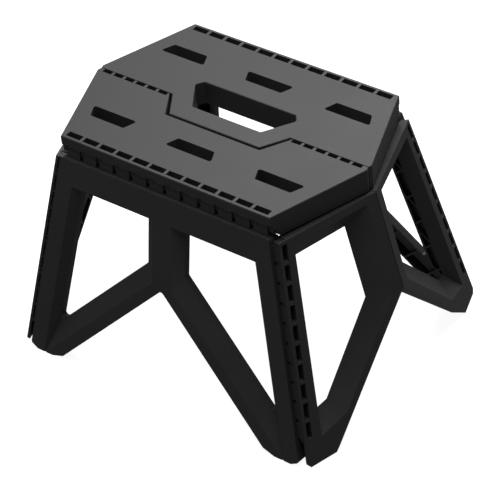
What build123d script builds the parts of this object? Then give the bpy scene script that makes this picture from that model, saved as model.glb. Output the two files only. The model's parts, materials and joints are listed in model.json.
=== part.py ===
from build123d import *
import os
from math import atan, cos, degrees, radians, sin, sqrt, tan

# Folding step stool of moulded plastic panels on steel hinge rods. Units are millimetres.
# Frame: origin on the floor under the middle of the top, +X along the centre seam, +Z up,
# the front is -Y. Every panel is drawn flat in its own frame and then set in its open place.

# ---- driving dimensions -------------------------------------------------------------------
top_height = 241.7          # floor to standing surface
top_thickness = 24.0        # skirt depth of the two top halves
seam_half = 150.0           # half length of the centre seam, the widest line of the hexagon
front_half = 115.0          # half length of the front and back edges
top_depth = 101.0           # seam to front edge
skin = 3.0                  # plastic skin of the top and the legs
wall = 2.8                  # edge walls of the moulded panels
rib = 2.0                   # stiffening ribs under the panels
seam_gap = 0.4              # half the gap along the seam
pivot_rise = 7.0            # pin axes above the parting plane of the folded stool
face_gap = 0.3              # panels clear the parting plane by this much

leg_splay = 10.1            # legs lean out from the vertical, degrees
corner_lean = 10.8          # leg side edges lean out within the leg panel, degrees
corner_turn = 71.0          # turn from the leg's face to the end panel's face, degrees
leg_face = 7.8              # pin axis to the outer face of a leg panel
end_face = 5.8              # pin axis to the outer face of an end panel

top_pin_inset = 5.0         # top edge to the leg pin axis
top_pin_radius = 1.5
top_barrel_radius = 4.0
corner_pin_radius = 1.25
corner_barrel_radius = 3.0
running_fit = 0.06          # radial play of a pin in a barrel that turns on it
side_play = 0.4             # play at each end of a barrel

ladder_rib = 3.0            # thin ribs between the hinge slots
top_slots = 12
top_pitch = 18.8
corner_slots = 10
corner_pitch = 19.5
seam_slots = 6
seam_pitch = 12.9
seam_start = 69.5           # first seam slot, from the middle

handle_half = 66.0          # handle loop half length at the seam
handle_reach = 25.4         # handle loop past the seam
handle_tip = 50.0           # handle loop half length at its far edge
handle_gap = 2.2
hole_back = 29.6            # grip hole, from the seam into the back half
hole_front = 5.9            # grip hole, past the seam
hole_half = 56.0            # grip hole half length at its long end
hole_tip = 37.8             # grip hole half length at its short end
hole_corner = 7.0           # cut corners of the grip hole
sole = 1.0                  # plastic soles end here, the rubber pads reach the floor
pad_height = 2.4

# ---- frames -------------------------------------------------------------------------------
underside = top_height - top_thickness
panel_back = -pivot_rise + face_gap     # back face of the leg and end panels, from their pin axes
splay_sin = sin(radians(leg_splay))
splay_cos = cos(radians(leg_splay))
leg_frame = Plane(
    origin=(0, -(top_depth - top_pin_inset), underside + pivot_rise),
    x_dir=(1, 0, 0),
    z_dir=(0, -splay_cos, splay_sin),
)
corner_x = 117.2            # corner pin axis in the leg frame, level with the leg pin
corner_slope = tan(radians(corner_lean))
corner_on_leg = Location((corner_x, 0, 0), (0, 0, corner_lean))
end_frame = leg_frame.location * corner_on_leg * Location((0, 0, 0), (0, corner_turn, 0))
end_plane = Plane(end_frame)


def leg_y(height):
    """Leg frame Y of a point on the outer face at a height above the floor."""
    face_top = leg_frame.origin.Z + leg_face * splay_sin
    return -(face_top - height) / splay_cos


def end_y(across, height):
    """End frame Y of a point on the outer face, for its X and its height above the floor."""
    rise = height - end_plane.origin.Z - across * end_plane.x_dir.Z - end_face * end_plane.z_dir.Z
    return rise / end_plane.y_dir.Z


def fold_x(along, level=-pivot_rise):
    """End frame X at which a level of the end panel meets the seam plane, at a place along it."""
    start = end_plane.origin.Y + level * end_plane.z_dir.Y
    return -(start + along * end_plane.y_dir.Y) / end_plane.x_dir.Y


# ---- small tools --------------------------------------------------------------------------
def face_of(points, radius=0.0):
    """Flat face from an outline, with its corners rounded."""
    face = make_face(Polyline(*points, close=True))
    return fillet(face.vertices(), radius) if radius else face


def raised(face, low, high):
    """Solid from a flat face, between two levels."""
    return Pos(0, 0, low) * extrude(face, amount=high - low)


def offset_sides(points, amounts):
    """An outline with each side moved outwards by its own amount. Points run clockwise."""
    lines = []
    for k, amount in enumerate(amounts):
        (x0, y0), (x1, y1) = points[k], points[(k + 1) % len(points)]
        length = sqrt((x1 - x0) ** 2 + (y1 - y0) ** 2)
        nx, ny = (y0 - y1) / length, (x1 - x0) / length
        lines.append((nx, ny, nx * x0 + ny * y0 + amount))
    corners = []
    for k in range(len(lines)):
        (a, b, c), (d, e, f) = lines[k - 1], lines[k]
        det = a * e - b * d
        corners.append(((c * e - b * f) / det, (a * f - c * d) / det))
    return corners


def block(x0, x1, y0, y1, z0, z1):
    return Pos((x0 + x1) / 2, (y0 + y1) / 2, (z0 + z1) / 2) * Box(x1 - x0, y1 - y0, z1 - z0)


def rod_x(x0, x1, y, z, radius):
    return Pos((x0 + x1) / 2, y, z) * Rot(0, 90, 0) * Cylinder(radius, x1 - x0)


def rod_y(y0, y1, radius):
    return Pos(0, (y0 + y1) / 2, 0) * Rot(90, 0, 0) * Cylinder(radius, y1 - y0)


def lattice(span, low, high, pitch):
    """Crossing diagonal ribs over a square area."""
    bars = []
    count = int(span / pitch)
    for k in range(-count, count + 1):
        bar = block(k * pitch - rib / 2, k * pitch + rib / 2, -span, span, low, high)
        bars += [Rot(0, 0, 45) * bar, Rot(0, 0, -45) * bar]
    return bars


# ---- top halves ---------------------------------------------------------------------------
# a top half is drawn with its body at -Y and its underside at level 0
pin_y = -(top_depth - top_pin_inset)
slot_centres = [top_pitch * (k - (top_slots - 1) / 2) for k in range(top_slots)]
slot_half = (top_pitch - ladder_rib) / 2
ladder_end = slot_centres[-1] + slot_half + 1.0
ladder_wall = top_depth - 9.4           # front face of the wall behind the hinge slots
ladder_rim = 3.0                        # strip in front of the hinge slots
channel_top = 14.5                      # roof of the channel in which the leg's barrels turn
top_radius = 1.2                        # rounded upper edges
step_slot_radius = 2.0
carrier_radius = 2.8                    # ribs that carry the leg pin, set back between the barrels
seam_slot_width = seam_pitch - ladder_rib
seam_notch = 4.6
seam_tip = 4.0                          # cut corner at each end of the seam
seam_bore_start = 66.5
seam_rib_start = 68.2
seam_ladder_end = seam_start + seam_slots * seam_pitch - ladder_rib
seam_rib_end = 3.4
seam_pin_end = seam_ladder_end + 2.6
step_slot_rows = [
    # X of the long edge's ends and its distance from the seam, then the same of the short edge
    ((67.3, 117.0, 50.0), (72.8, 110.5, 63.6)),
    ((-25.5, 25.5, 63.6), (-20.0, 20.0, 50.5)),
    ((-117.0, -67.3, 50.0), (-110.5, -72.8, 63.6)),
]
seam_solid_length = 90.0                # solid strip behind the seam's hinge slots
seam_solid_depth = 7.5
stiffener_x = (32, 58, 90, 128)
stiffener_y = (36, 78)


def step_slots():
    """Outlines of the three tapered slots in one half of the top."""
    outlines = []
    for (a0, a1, ya), (b0, b1, yb) in step_slot_rows:
        outlines.append([(a0, -ya), (a1, -ya), (b1, -yb), (b0, -yb)])
    return outlines


def grip_hole():
    cut = hole_corner - 2.0
    return [
        (-hole_half, -hole_back + hole_corner), (-hole_half + cut, -hole_back),
        (hole_half - cut, -hole_back), (hole_half, -hole_back + hole_corner),
        (hole_tip, hole_front), (-hole_tip, hole_front),
    ]


def half_outline(handle):
    """Plan of a top half: the back one has the handle loop past the seam, the front one a bay for it."""
    if handle:
        root, tip, reach = handle_half, handle_tip, handle_reach
    else:
        root, tip, reach = handle_half + handle_gap, handle_tip + handle_gap, -handle_reach - handle_gap
    right = [
        (front_half, -top_depth), (seam_half, -seam_tip), (seam_half - 1.0, -seam_gap),
        (root, -seam_gap), (tip, reach),
    ]
    return right + [(-x, y) for x, y in reversed(right)]


def seam_slot_spans():
    """X spans of the hinge slots along the seam, on both sides of the handle."""
    starts = [seam_start + k * seam_pitch for k in range(seam_slots)]
    spans = [(x, x + seam_slot_width) for x in starts]
    return spans + [(-b, -a) for a, b in spans]


def seam_rib_spans():
    """X spans of the front half's ribs that carry the centre pins."""
    spans = [(seam_rib_start, seam_start)]
    for k in range(1, seam_slots):
        spans.append((seam_start + k * seam_pitch - ladder_rib, seam_start + k * seam_pitch))
    spans.append((seam_ladder_end, seam_ladder_end + seam_rib_end))
    return spans + [(-b, -a) for a, b in spans]


def on_seam(edge):
    """True for the upper edges along the seam, beside the handle, which stay sharp."""
    middle = edge.center()
    return abs(middle.Y + seam_gap) < 0.1 and abs(middle.X) > 60


def top_shell(handle):
    """A top half without its hinges: skin, skirt and stiffening ribs."""
    outline = face_of(half_outline(handle))
    plan = outline
    hollow = offset(outline, amount=-skin, kind=Kind.INTERSECTION)
    if handle:
        hole = face_of(grip_hole(), 2.0)
        plan = plan - hole
        hollow = hollow - offset(hole, amount=skin)
    body = extrude(plan, amount=top_thickness)
    upper = body.edges().filter_by_position(Axis.Z, top_thickness - 0.01, top_thickness + 0.01)
    body = fillet([edge for edge in upper if not on_seam(edge)], top_radius)

    for points in step_slots():
        hollow = hollow - offset(face_of(points), amount=rib)
    hollow = hollow - Pos(0, -top_depth) * Rectangle(2 * seam_half, 2 * (top_depth - ladder_wall + rib))
    middle = (seam_start + seam_ladder_end) / 2
    for side in (-1, 1):
        hollow = hollow - Pos(side * middle, 0) * Rectangle(seam_solid_length, 2 * seam_solid_depth)
        for x in stiffener_x:
            hollow = hollow - Pos(side * x, -top_depth / 2) * Rectangle(rib, top_depth)
    for y in stiffener_y:
        hollow = hollow - Pos(0, -y) * Rectangle(2 * seam_half, rib)
    body = body - raised(hollow, -1, top_thickness - skin)
    for points in step_slots():
        body = body - raised(face_of(points, step_slot_radius), -1, top_thickness + 1)
    return body


def leg_hinge_ladder(body):
    """Slots, rim and thin ribs along the front edge, where the leg's barrels sit."""
    channel = block(-seam_half, seam_half, -top_depth - 2, -ladder_wall, -1, channel_top)
    middles = [x + top_pitch / 2 for x in slot_centres[:-1]]
    spans = [(x - ladder_rib / 2, x + ladder_rib / 2) for x in middles]
    spans += [(ladder_end, seam_half), (-seam_half, -ladder_end)]
    r = carrier_radius
    carriers = []
    for a, b in spans:
        carriers.append(rod_x(a, b, pin_y, pivot_rise, r))
        carriers.append(block(a, b, pin_y, -ladder_wall + 0.1, pivot_rise - r, channel_top))
        carriers.append(block(a, b, pin_y - r + 0.2, pin_y, pivot_rise, channel_top))
    body = body - (channel - carriers)
    front = -top_depth + ladder_rim
    slot = block(-slot_half, slot_half, front, -ladder_wall, -1, top_thickness + 1)
    body = body - [Pos(x, 0, 0) * slot for x in slot_centres]
    loose = rod_x(-ladder_end, ladder_end, pin_y, pivot_rise, top_pin_radius + running_fit)
    return body - [loose, rod_x(-seam_half, seam_half, pin_y, pivot_rise, top_pin_radius)]


def seam_bores():
    """Bores for the centre pins: free in the ladder, tight at both ends."""
    right = [
        rod_x(seam_bore_start, seam_ladder_end, 0, 0, top_pin_radius + running_fit),
        rod_x(seam_bore_start, seam_pin_end, 0, 0, top_pin_radius),
    ]
    return right + [mirror(bore, about=Plane.YZ) for bore in right]


def top_front():
    """Front half: seam notches, with thin ribs that carry the centre pins."""
    body = leg_hinge_ladder(top_shell(False))
    notches = [block(a, b, -seam_notch, 1, -1, top_thickness + 1) for a, b in seam_slot_spans()]
    ribs = [rod_x(a, b, 0, 0, top_barrel_radius) for a, b in seam_rib_spans()]
    return body - notches + ribs - seam_bores()


def top_back():
    """Back half: the handle loop and its grip hole, and the seam's barrels."""
    body = leg_hinge_ladder(top_shell(True))
    r = top_barrel_radius
    reliefs = [rod_x(a - side_play, b + side_play, 0, 0, r + 0.3) for a, b in seam_rib_spans()]
    barrels = [rod_x(a + side_play, b - side_play, 0, 0, r) for a, b in seam_slot_spans()]
    return body - reliefs + barrels - seam_bores()


# ---- leg panels ---------------------------------------------------------------------------
post_half = 20.6            # centre post, at the windows
post_flat = 10.5            # centre post, flat part
bevel_depth = 7.8           # depth of the sloping faces beside the post and on the struts
rail_bottom = 193.6         # height of the upper edge of the windows
arch_top = 123.5            # height of the arch between the feet
arch_foot = 121.0           # arch half width at the floor
arch_turn = 5.0             # half length of the level piece at the top of the arch
strut_top = 162.9           # window's lower edge: height at x = 0
strut_slope = 1.0
strut_band = 138.5          # same for the outer edge of the strut's sloping face
stile_flat = 16.5           # outer stile, flat part
stile_width = 24.0          # outer stile, at the windows
foot_cut = 9.0              # cut outer corners of the feet, along the floor
foot_cut_rise = 4.5
leg_top = 5.8               # leg pin axis to the upper edge of the panel's skin
leg_edge = 3.66             # corner pin axis to the leg's side edge
leg_lattice_pitch = 27.0
panel_radius = 3.0
knuckle_rise = 4.2          # flat fronts of the leg's barrels above the pin


def leg_half_width(y):
    return corner_x - leg_edge - y * corner_slope


def stile_line(height, stile):
    """Inner edge of an outer stile of some width, at a height above the floor."""
    return leg_half_width(leg_y(height)) - stile * sqrt(1 + corner_slope ** 2)


def meet_stile(start, stile):
    """Where a strut line, falling from a height at x = 0, meets the stile: x and height."""
    x = corner_x
    for _ in range(40):
        x = stile_line(start - strut_slope * x, stile)
    return x, start - strut_slope * x


def leg_window(side, post, start, stile):
    """Window outline between the post, the rail, the stile and a strut line."""
    x, low = meet_stile(start, stile)
    points = [
        (post, rail_bottom), (stile_line(rail_bottom, stile), rail_bottom),
        (x, low), (post, start - strut_slope * post),
    ]
    return [(side * px, leg_y(height)) for px, height in points]


def leg_outline():
    low = leg_y(sole)
    arch_shoulder = leg_y(arch_top * arch_turn / arch_foot)
    right = [
        (leg_half_width(-leg_top), -leg_top), (leg_half_width(low + foot_cut_rise), low + foot_cut_rise),
        (leg_half_width(low) - foot_cut, low), (arch_foot + 9, low), (arch_foot - 4, arch_shoulder),
    ]
    return right + [(0, leg_y(arch_top))] + [(-x, y) for x, y in reversed(right)]


def leg_cavity(outline):
    """Hollow back of a leg panel: deep beside the frame's edges, shallow behind its sloping faces."""
    hollow = offset(outline, amount=-wall, kind=Kind.INTERSECTION)
    for side in (-1, 1):
        frame = face_of(leg_window(side, post_half, strut_top, stile_width))
        hollow = hollow - offset(frame, amount=wall, kind=Kind.INTERSECTION)
    shallow = hollow
    for side in (-1, 1):
        frame = face_of(leg_window(side, post_flat, strut_band, stile_flat))
        shallow = shallow - offset(frame, amount=1.0, kind=Kind.INTERSECTION)
    step = leg_face - bevel_depth - skin
    cavity = raised(hollow, panel_back - 1, step) + raised(shallow, step - 0.5, leg_face - skin)
    centre = Pos(0, leg_y(top_height / 2), 0)
    return cavity - [centre * bar for bar in lattice(190, panel_back - 2, leg_face, leg_lattice_pitch)]


def leg_barrels():
    """Barrels along the upper edge that turn in the top's hinge slots, with their webs."""
    r = top_barrel_radius
    half = slot_half - side_play
    pieces = []
    for x in slot_centres:
        pieces.append(rod_x(x - half, x + half, 0, 0, r))
        pieces.append(block(x - half, x + half, -leg_top - 1.6, knuckle_rise, -0.5, r))
        pieces.append(block(x - half, x + half, -7.5, -0.5, -r, 0))
        pieces.append(block(x - half, x + half, -9.0, -7.3, -r, 0))
    return pieces


def leg_panel():
    """A leg panel in the leg frame: +Y up the panel, +Z out of its face, pin axis along X."""
    outline = face_of(leg_outline())
    plan = fillet(outline.vertices(), panel_radius)
    for side in (-1, 1):
        plan = plan - face_of(leg_window(side, post_half, strut_top, stile_width), panel_radius)
    body = raised(plan, panel_back, leg_face)
    for side in (-1, 1):
        mouth = face_of(leg_window(side, post_flat, strut_band, stile_flat))
        throat = face_of(leg_window(side, post_half, strut_top, stile_width))
        lower = Pos(0, 0, leg_face - bevel_depth) * throat
        upper = Pos(0, 0, leg_face + 0.02) * mouth
        body = body - loft([lower, upper])
    body = body - leg_cavity(outline)
    # the back part of the upper edge stays clear of the top's hinge wall
    body = body - block(-seam_half, seam_half, -7.4, 0, panel_back - 1, -0.5)
    body = body + leg_barrels()
    body = body - rod_x(-seam_half, seam_half, 0, 0, top_pin_radius + running_fit)

    barrels = [corner_on_leg * piece for piece in corner_barrels()]
    body = body + barrels + [mirror(piece, about=Plane.YZ) for piece in barrels]
    bore = corner_on_leg * rod_y(-300, 60, corner_pin_radius + running_fit)
    return body - [bore, mirror(bore, about=Plane.YZ)]


# ---- corner hinges ------------------------------------------------------------------------
ladder_top = -12.0          # the corner hinge slots start here along the corner axis
ladder_bottom = ladder_top - corner_slots * corner_pitch + ladder_rib
corner_pin_low = ladder_bottom - 2.0
corner_pin_high = ladder_top + 1.6


def corner_spans(play):
    """Spans of the corner hinge slots along the corner axis, each with some play."""
    spans = []
    for k in range(corner_slots):
        high = ladder_top - k * corner_pitch - play
        spans.append((high - (corner_pitch - ladder_rib) + 2 * play, high))
    return spans


def corner_rib_spans():
    """Spans of the end panel's ribs that carry the corner pin."""
    spans = [(ladder_top, ladder_top + 2.4), (ladder_bottom - ladder_rib, ladder_bottom)]
    for k in range(1, corner_slots):
        low = ladder_top - k * corner_pitch
        spans.append((low, low + ladder_rib))
    return spans


def corner_barrels():
    r = corner_barrel_radius
    pieces = []
    for low, high in corner_spans(side_play):
        pieces.append(rod_y(low, high, r))
        pieces.append(block(-leg_edge - 1.4, 0, low, high, -r, r))
    return pieces


# ---- end panels ---------------------------------------------------------------------------
rim_x = -3.0                # corner edge of the end panel, from the corner pin
slot_x = (0.2, 5.5)         # hinge slots across the end panel
end_skin = 2.5
end_wall = 2.5
fold_edge = 0.4             # mid-fold axis to the edge of the panel's back
fold_low = -98.2            # lower end of the mid-fold edge along the end frame
end_top = underside - 0.6
end_foot_corner = 33.5      # outer corner of the foot, from the corner pin
end_foot_heel = 29.5
end_foot_rise = 5.0
end_lattice_pitch = 25.0
end_lip = 1.0               # straight part of the window, at the panel's back
slope_wall = 4.5            # plastic behind the window's sloping sides, measured along the panel
fold_knuckle = 10.2
fold_start = 24.0
fold_spans = 7
fold_end = -fold_start - fold_spans * fold_knuckle
fold_play = 0.15            # radial play of the mid-fold pin's groove

# window at the panel's back, clockwise from its upper corner by the corner hinge
end_window = [(19.5, -31.7), (74.7, -24.3), (88.0, -99.4), (33.4, -180.8), (21.7, -185.1)]
# how far each side of the window slopes outwards on its way to the face:
# the corner stile, the rail, the mid-fold post, the strut and the foot
end_slopes = (6.5, 15.4, 21.0, 18.3, 18.0)


def end_outline(left, level):
    """Outline of an end half from an X outwards, with its mid-fold edge at a level."""
    foot_y = end_y(end_foot_heel, sole)
    inset = fold_edge if level < 0 else -fold_edge
    right_top = fold_x(0, level) - inset
    points = [
        (left, end_y(left, end_top)), (right_top, end_y(right_top, end_top)),
        (fold_x(fold_low, level) - inset, fold_low),
        (end_foot_corner, foot_y + end_foot_rise), (end_foot_heel, foot_y),
    ]
    if left < 0:
        return points + [(left + 4, end_y(left, sole)), (left, end_y(left, sole) + 4)]
    return points + [(left, end_y(left, sole))]


def window_frustum(grow):
    """The window's solid opening, narrow at the back and wide at the face, grown on all sides."""
    slopes = end_slopes[1:] + end_slopes[:1]
    narrow = offset_sides(end_window, [grow] * len(end_window))
    wide = offset_sides(end_window, [grow + slope for slope in slopes])
    start = panel_back + end_lip
    lower = Pos(0, 0, start) * face_of(narrow)
    upper = Pos(0, 0, end_face + 0.02) * face_of(wide)
    return loft([lower, upper]) + raised(face_of(narrow), panel_back - 1.5, start)


def fold_frame():
    """Frame on the mid-fold axis: +Y up the axis, +X away from the panel."""
    low = Vector(fold_x(-100), -100, -pivot_rise)
    high = Vector(fold_x(0), 0, -pivot_rise)
    up = (high - low).normalized()
    return Plane(origin=high, x_dir=up.cross(Vector(0, 0, 1)), z_dir=(0, 0, 1)).location


def fold_pieces():
    """Knuckles of the mid-fold hinge, and the reliefs that they need in the other half."""
    r = corner_barrel_radius
    fold = fold_frame()
    knuckles = []
    reliefs = []
    for k in range(0, fold_spans, 2):
        high = -fold_start - k * fold_knuckle
        low = high - fold_knuckle
        knuckles.append(fold * rod_y(low + side_play, high - side_play, r))
        knuckles.append(fold * block(-4.0, 0, low + side_play, high - side_play, -r, r))
        reliefs.append(fold * block(-4.6, 2, low, high, -2, r + 0.5))
    return knuckles, reliefs


def end_panel(front):
    """Right-hand end half in the end frame. The front one carries the mid-fold pin."""
    deep = slot_x[1]
    body = raised(face_of(end_outline(rim_x, end_face)), end_face - end_skin, end_face)
    body = body + raised(face_of(end_outline(deep, end_face)), panel_back, end_face)
    # the two halves of an end meet in the seam plane
    body = body - end_frame.inverse() * block(0, 400, -seam_gap, 300, -50, 400)
    body = body - window_frustum(0)

    hollow = offset(face_of(end_outline(deep, -pivot_rise)), amount=-end_wall, kind=Kind.INTERSECTION)
    cavity = raised(hollow, panel_back - 1, end_face - end_skin) - window_frustum(slope_wall)
    centre = Pos(50, -110, 0)
    cavity = cavity - [centre * bar for bar in lattice(180, panel_back - 2, end_face, end_lattice_pitch)]
    body = body - cavity

    r = corner_barrel_radius
    body = body - [block(*slot_x, low, high, -20, 20) for low, high in corner_spans(0)]
    carriers = []
    for low, high in corner_rib_spans():
        carriers.append(rod_y(low, high, r))
        carriers.append(block(0, deep + 0.5, low, high, -r, end_face - end_skin))
        carriers.append(block(rim_x + 0.3, 0, low, high, 0, end_face - end_skin + 0.1))
    body = body + carriers
    body = body - rod_y(ladder_bottom, ladder_top, corner_pin_radius + running_fit)
    body = body - rod_y(corner_pin_low, corner_pin_high, corner_pin_radius)

    fold = fold_frame()
    knuckles, reliefs = fold_pieces()
    body = body - fold * rod_y(fold_end - 1, -fold_start + 1, corner_pin_radius + fold_play)
    if front:
        return body + knuckles - fold * rod_y(fold_end, -fold_start, corner_pin_radius)
    return body - reliefs


def end_in_place(front):
    panel = end_frame * end_panel(front)
    # room for the seam barrels under the top
    panel = panel - rod_x(0, seam_ladder_end + 5, 0, underside, top_barrel_radius + 1.2)
    return panel - block(0, 400, -300, 300, -50, sole)


# ---- pads ---------------------------------------------------------------------------------
end_pad_x = 17.0
leg_foot = leg_frame.location * Pos(leg_half_width(leg_y(sole)) - 20.5, leg_y(sole), 0.5)
end_foot = end_frame * Pos(end_pad_x, end_y(end_pad_x, sole), -0.5)
end_heading = degrees(atan(end_plane.x_dir.X / end_plane.x_dir.Y))


def pad(foot, turn, length, width):
    """Rubber pad on the floor under a foot."""
    plan = RectangleRounded(length, width, 2.5)
    return Pos(foot.position.X, foot.position.Y, 0) * Rot(0, 0, turn) * extrude(plan, amount=pad_height)


# ---- assembly -----------------------------------------------------------------------------
def turned(shape):
    return Rot(0, 0, 180) * shape


def flip_x(shape):
    return mirror(shape, about=Plane.YZ)


def flip_y(shape):
    return mirror(shape, about=Plane.XZ)


leg_pad = pad(leg_foot, 0, 22, 8)
end_pad = pad(end_foot, 90 - end_heading, 22, 7)
leg = leg_frame.location * leg_panel()
leg = leg - block(-300, 300, -300, 300, -50, sole) - [leg_pad, flip_x(leg_pad)]
end_front = end_in_place(True) - end_pad
end_back = end_in_place(False) - end_pad

centre_pin = rod_x(seam_rib_start + 0.4, seam_pin_end, 0, underside, top_pin_radius)
edge_pin = rod_x(-front_half, front_half, pin_y, underside + pivot_rise, top_pin_radius)
corner_pin = end_frame * rod_y(corner_pin_low, corner_pin_high, corner_pin_radius)
fold_pin = end_frame * fold_frame() * rod_y(fold_end, -fold_start, corner_pin_radius)

nodes = {
    "top_front": Pos(0, 0, underside) * top_front(),
    "top_back": Pos(0, 0, underside) * turned(top_back()),
    "leg_front": leg,
    "leg_back": turned(leg),
    "end_front_right": end_front,
    "end_front_left": flip_x(end_front),
    "end_back_right": flip_y(end_back),
    "end_back_left": turned(end_back),
    "centre_pin_right": centre_pin,
    "centre_pin_left": flip_x(centre_pin),
    "leg_pin_front": edge_pin,
    "leg_pin_back": turned(edge_pin),
    "corner_pin_front_right": corner_pin,
    "corner_pin_front_left": flip_x(corner_pin),
    "corner_pin_back_right": flip_y(corner_pin),
    "corner_pin_back_left": turned(corner_pin),
    "fold_pin_right": fold_pin,
    "fold_pin_left": flip_x(fold_pin),
    "foot_pad_leg_front_right": leg_pad,
    "foot_pad_leg_front_left": flip_x(leg_pad),
    "foot_pad_leg_back_right": flip_y(leg_pad),
    "foot_pad_leg_back_left": turned(leg_pad),
    "foot_pad_end_front_right": end_pad,
    "foot_pad_end_front_left": flip_x(end_pad),
    "foot_pad_end_back_right": flip_y(end_pad),
    "foot_pad_end_back_left": turned(end_pad),
}

os.makedirs("parts", exist_ok=True)
for name, shape in nodes.items():
    solids = shape.solids()
    export_step(solids[0] if len(solids) == 1 else Compound(children=solids), f"parts/{name}.step")
    print(name, len(solids), round(sum(s.volume for s in solids) / 1000, 1), "cm3")
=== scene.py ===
import json
import math

import bmesh
import bpy
from mathutils import Matrix, Vector


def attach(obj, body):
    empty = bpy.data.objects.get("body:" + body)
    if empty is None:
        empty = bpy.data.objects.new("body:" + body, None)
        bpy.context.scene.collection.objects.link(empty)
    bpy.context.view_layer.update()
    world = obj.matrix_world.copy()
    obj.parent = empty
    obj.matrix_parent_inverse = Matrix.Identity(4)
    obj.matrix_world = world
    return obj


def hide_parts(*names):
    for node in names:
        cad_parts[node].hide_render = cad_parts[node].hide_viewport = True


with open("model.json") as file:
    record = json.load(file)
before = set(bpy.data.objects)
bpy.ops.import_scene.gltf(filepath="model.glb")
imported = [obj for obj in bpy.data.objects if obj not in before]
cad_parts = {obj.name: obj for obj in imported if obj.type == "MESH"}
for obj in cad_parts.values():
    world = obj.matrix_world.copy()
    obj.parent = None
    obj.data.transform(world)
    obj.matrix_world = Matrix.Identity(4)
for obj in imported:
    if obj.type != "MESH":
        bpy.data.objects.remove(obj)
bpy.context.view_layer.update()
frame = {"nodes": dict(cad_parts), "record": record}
nodes = frame["nodes"]
node_body = {n: b for b, names in frame["record"]["behaviour"]["bodies"].items() for n in names}

MM = 0.001

# ---- sizes and levels -----------------------------------------------------------------------
EDGE_RADIUS = 0.5 * MM          # moulded radii along the panels' edges
EDGE_ANGLE = 28.0               # edges sharper than this are rounded, degrees
EDGE_SEGMENTS = 2
WELD_DISTANCE = 0.001 * MM
FLAT_ANGLE = 0.6                # faces within this angle are merged, degrees

GRAIN_SIZE = 0.7 * MM           # pitch of the moulded grain
GRAIN_DEPTH = 0.1 * MM
CLOUD_SCALE = 18.0              # cloudy patches, repeats per metre
STREAK_SCALE = 400.0            # drawing marks on the steel
DUST_SCALE = 260.0              # speckle of the rubber
DUST_DEPTH = 0.2 * MM
SPECK_GAIN = 1.9                # tips of the grain are paler than the plastic
NOISE_BAND = (0.3, 0.7)         # the part of a noise's range that is spread out

FLOOR_HALF = 6.0
FLOOR_GLOW = 0.93
FLOOR_GREY = 0.3
WORLD_LEVEL = 0.17

CAMERA_AZIMUTH = 39.60          # degrees, from the front toward the right
CAMERA_ELEVATION = 39.76
CAMERA_ROLL = -5.78
CAMERA_TARGET = (0.02477, -0.02624, 0.11818)
CAMERA_DISTANCE = 2.1174
CAMERA_LENS = 168.58            # millimetres, on a 36 mm sensor
SENSOR_WIDTH = 36.0


# ---- materials ------------------------------------------------------------------------------
class Nodes:
    """Small helper for writing a node tree in order."""

    def __init__(self, name):
        self.material = bpy.data.materials.new(name)
        self.material.use_nodes = True
        self.tree = self.material.node_tree
        self.tree.nodes.clear()
        self.output = self.add("ShaderNodeOutputMaterial")
        self.shader = self.add("ShaderNodeBsdfPrincipled")
        self.link(self.shader, "BSDF", self.output, "Surface")
        self.place = self.add("ShaderNodeTexCoord")

    def add(self, kind, **settings):
        node = self.tree.nodes.new(kind)
        for key, value in settings.items():
            setattr(node, key, value)
        return node

    def link(self, source, out, target, into):
        self.tree.links.new(source.outputs[out], target.inputs[into])

    def noise(self, scale, detail=2.0, roughness=0.5):
        node = self.add("ShaderNodeTexNoise")
        node.inputs["Scale"].default_value = scale
        node.inputs["Detail"].default_value = detail
        node.inputs["Roughness"].default_value = roughness
        self.link(self.place, "Object", node, "Vector")
        return node

    def spread(self, source, out, low, high, to_low, to_high):
        node = self.add("ShaderNodeMapRange")
        node.inputs["From Min"].default_value = low
        node.inputs["From Max"].default_value = high
        node.inputs["To Min"].default_value = to_low
        node.inputs["To Max"].default_value = to_high
        self.link(source, out, node, "Value")
        return node

    def blend(self, factor, out, first, second):
        """Colour mix: first and second are colours or (node, output) pairs."""
        node = self.add("ShaderNodeMix", data_type="RGBA")
        self.tree.links.new(factor.outputs[out], node.inputs[0])
        for socket, value in ((node.inputs[6], first), (node.inputs[7], second)):
            if isinstance(value, tuple) and not isinstance(value[0], float):
                self.tree.links.new(value[0].outputs[value[1]], socket)
            else:
                socket.default_value = (*value, 1.0)
        return node

    def bump(self, source, out, strength, distance):
        node = self.add("ShaderNodeBump")
        node.inputs["Strength"].default_value = strength
        node.inputs["Distance"].default_value = distance
        self.link(source, out, node, "Height")
        return node


def moulded_plastic(name, base, lift, specular, rough_low, rough_high):
    """Matte moulded plastic: spark-eroded grain, faint cloudiness and slightly polished patches."""
    m = Nodes(name)
    cloud = m.noise(CLOUD_SCALE, 3.0)
    grain = m.noise(1.0 / GRAIN_SIZE, 3.0, 0.65)
    tint = m.spread(cloud, "Fac", *NOISE_BAND, 0.0, 1.0)
    colour = m.blend(tint, "Result", base, lift)
    speck = m.spread(grain, "Fac", 0.35, 0.7, 0.0, 0.35)
    bright = tuple(min(1.0, c * SPECK_GAIN) for c in lift)
    colour = m.blend(speck, "Result", (colour, 2), bright)
    m.link(colour, 2, m.shader, "Base Color")
    rough = m.spread(cloud, "Fac", *NOISE_BAND, rough_low, rough_high)
    m.link(rough, "Result", m.shader, "Roughness")
    m.shader.inputs["Specular IOR Level"].default_value = specular
    fine = m.bump(grain, "Fac", 0.35, GRAIN_DEPTH)
    m.link(fine, "Normal", m.shader, "Normal")
    return m.material


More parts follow.
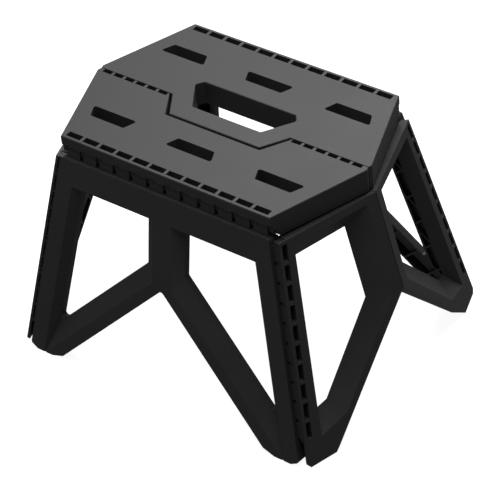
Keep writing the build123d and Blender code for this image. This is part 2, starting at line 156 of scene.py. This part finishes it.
def drawn_steel(name):
    """Bright drawn rod with uneven polish."""
    m = Nodes(name)
    streak = m.noise(STREAK_SCALE, 2.0)
    rough = m.spread(streak, "Fac", *NOISE_BAND, 0.25, 0.42)
    m.link(rough, "Result", m.shader, "Roughness")
    colour = m.blend(streak, "Fac", (0.42, 0.42, 0.43), (0.6, 0.6, 0.61))
    m.link(colour, 2, m.shader, "Base Color")
    m.shader.inputs["Metallic"].default_value = 1.0
    return m.material


def pad_rubber(name):
    """Dull dark rubber with a dusty speckle."""
    m = Nodes(name)
    dust = m.noise(DUST_SCALE, 4.0)
    colour = m.blend(dust, "Fac", (0.012, 0.012, 0.012), (0.05, 0.048, 0.046))
    m.link(colour, 2, m.shader, "Base Color")
    m.shader.inputs["Roughness"].default_value = 0.85
    m.link(m.bump(dust, "Fac", 0.3, DUST_DEPTH), "Normal", m.shader, "Normal")
    return m.material


plastic = moulded_plastic(
    "panel_plastic", base=(0.020, 0.020, 0.021), lift=(0.026, 0.026, 0.027),
    specular=0.3, rough_low=0.5, rough_high=0.58,
)
steel = drawn_steel("hinge_steel")
rubber = pad_rubber("pad_rubber")


# ---- moulded panels -------------------------------------------------------------------------
def welded(node):
    """A copy of a node's mesh with its vertices joined and its flat areas merged."""
    mesh = nodes[node].data.copy()
    mesh.name = node + "_moulding"
    bm = bmesh.new()
    bm.from_mesh(mesh)
    bmesh.ops.remove_doubles(bm, verts=bm.verts, dist=WELD_DISTANCE)
    bmesh.ops.dissolve_limit(
        bm, angle_limit=math.radians(FLAT_ANGLE), use_dissolve_boundaries=False,
        verts=bm.verts, edges=bm.edges, delimit=set(),
    )
    bm.to_mesh(mesh)
    bm.free()
    return mesh


def soften(obj):
    """Small moulded radii along the panel's edges, applied to the mesh."""
    bevel = obj.modifiers.new("moulded_edges", "BEVEL")
    bevel.width = EDGE_RADIUS
    bevel.segments = EDGE_SEGMENTS
    bevel.limit_method = "ANGLE"
    bevel.angle_limit = math.radians(EDGE_ANGLE)
    bevel.use_clamp_overlap = True
    bevel.miter_outer = "MITER_SHARP"
    flat = obj.modifiers.new("flat_areas", "WEIGHTED_NORMAL")
    flat.mode = "FACE_AREA"
    flat.weight = 100
    flat.keep_sharp = True
    depsgraph = bpy.context.evaluated_depsgraph_get()
    mesh = bpy.data.meshes.new_from_object(obj.evaluated_get(depsgraph))
    obj.modifiers.clear()
    obj.data = mesh


def panel(node):
    """The node's moulding with rounded edges, in place of the CAD mesh."""
    obj = bpy.data.objects.new(node + "_moulding", welded(node))
    bpy.context.scene.collection.objects.link(obj)
    for face in obj.data.polygons:
        face.use_smooth = True
    soften(obj)
    obj.data.materials.clear()
    obj.data.materials.append(plastic)
    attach(obj, node_body[node])
    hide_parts(node)


panel_nodes = [n for n in sorted(nodes) if n.startswith(("top_", "leg_front", "leg_back", "end_"))]
for name in panel_nodes:
    panel(name)

for name, obj in nodes.items():
    if "_pin_" in name:
        obj.data.materials.clear()
        obj.data.materials.append(steel)
    if name.startswith("foot_pad"):
        obj.data.materials.clear()
        obj.data.materials.append(rubber)


# ---- floor, light and camera ----------------------------------------------------------------
def stage_floor():
    """A pale floor that glows evenly and takes a faint shadow, but throws no light up at the stool."""
    mesh = bpy.data.meshes.new("floor")
    corners = [(x * FLOOR_HALF, y * FLOOR_HALF, 0) for x, y in ((-1, -1), (1, -1), (1, 1), (-1, 1))]
    mesh.from_pydata(corners, [], [(0, 1, 2, 3)])
    obj = bpy.data.objects.new("floor", mesh)
    bpy.context.scene.collection.objects.link(obj)
    m = Nodes("floor_paint")
    m.shader.inputs["Base Color"].default_value = (FLOOR_GREY, FLOOR_GREY, FLOOR_GREY, 1.0)
    m.shader.inputs["Roughness"].default_value = 0.9
    m.shader.inputs["Specular IOR Level"].default_value = 0.0
    m.shader.inputs["Emission Color"].default_value = (1.0, 1.0, 1.0, 1.0)
    m.shader.inputs["Emission Strength"].default_value = FLOOR_GLOW
    mesh.materials.append(m.material)
    obj.visible_diffuse = False
    obj.visible_glossy = False


def soft_light(name, place, aim, size, power):
    """A rectangular area light that faces a point."""
    lamp = bpy.data.lights.new(name, "AREA")
    lamp.shape = "RECTANGLE"
    lamp.size, lamp.size_y = size
    lamp.energy = power
    obj = bpy.data.objects.new(name, lamp)
    obj.location = place
    obj.rotation_euler = (Vector(aim) - Vector(place)).to_track_quat("-Z", "Y").to_euler()
    bpy.context.scene.collection.objects.link(obj)


def world_light(level):
    """Even white light from all around."""
    world = bpy.data.worlds.new("studio")
    world.use_nodes = True
    world.node_tree.nodes["Background"].inputs["Color"].default_value = (1.0, 1.0, 1.0, 1.0)
    world.node_tree.nodes["Background"].inputs["Strength"].default_value = level
    bpy.context.scene.world = world


def camera():
    """Looks at the stool from the front right and above, rolled a little."""
    azimuth = math.radians(CAMERA_AZIMUTH)
    elevation = math.radians(CAMERA_ELEVATION)
    roll = math.radians(CAMERA_ROLL)
    back = Vector((
        math.sin(azimuth) * math.cos(elevation),
        -math.cos(azimuth) * math.cos(elevation),
        math.sin(elevation),
    ))
    across = Vector((0, 0, 1)).cross(back).normalized()
    up = back.cross(across)
    right = math.cos(roll) * across + math.sin(roll) * up
    top = math.cos(roll) * up - math.sin(roll) * across
    place = Vector(CAMERA_TARGET) + back * CAMERA_DISTANCE
    turn = Matrix((right, top, back)).transposed().to_4x4()
    data = bpy.data.cameras.new("camera")
    data.sensor_width = SENSOR_WIDTH
    data.lens = CAMERA_LENS
    obj = bpy.data.objects.new("camera", data)
    obj.matrix_world = Matrix.Translation(place) @ turn
    bpy.context.scene.collection.objects.link(obj)
    bpy.context.scene.camera = obj


stage_floor()
world_light(WORLD_LEVEL)
soft_light("overhead_panel", (0.0, -0.15, 2.0), (0, 0, 0.2), (1.2, 1.2), 28.0)
soft_light("rear_panel", (-0.25, 1.3, 1.9), (0, 0, 0.2), (1.8, 1.2), 58.0)
camera()

bpy.context.scene.view_settings.view_transform = "Standard"
